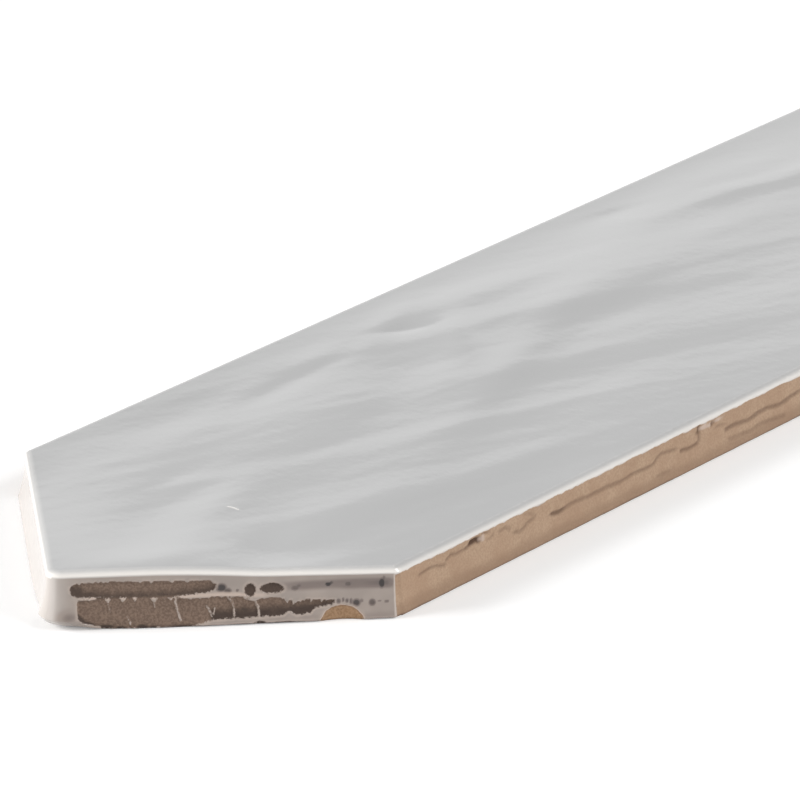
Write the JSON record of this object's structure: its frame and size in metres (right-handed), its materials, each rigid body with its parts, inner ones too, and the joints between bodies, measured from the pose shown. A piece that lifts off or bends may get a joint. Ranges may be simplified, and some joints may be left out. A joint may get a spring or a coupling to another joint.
{
  "type": "picket tile",
  "caption": "Elongated hexagonal wall tile with a pointed end at each tip, a gently rippled glazed face, bare clay edges and a grooved back that keys into adhesive.",
  "frame": {"origin": "middle of the back, level with the surface that the tile lies on", "axes": "+X along the length, with the chipped end at -X; +Y across the width; +Z from the back to the glazed face"},
  "size_m": [0.305, 0.076, 0.0094],
  "materials": {
    "glazed_tile": "gloss"
  },
  "bodies": {
    "root": {"tile": "glazed_tile"}
  },
  "joints": []
}
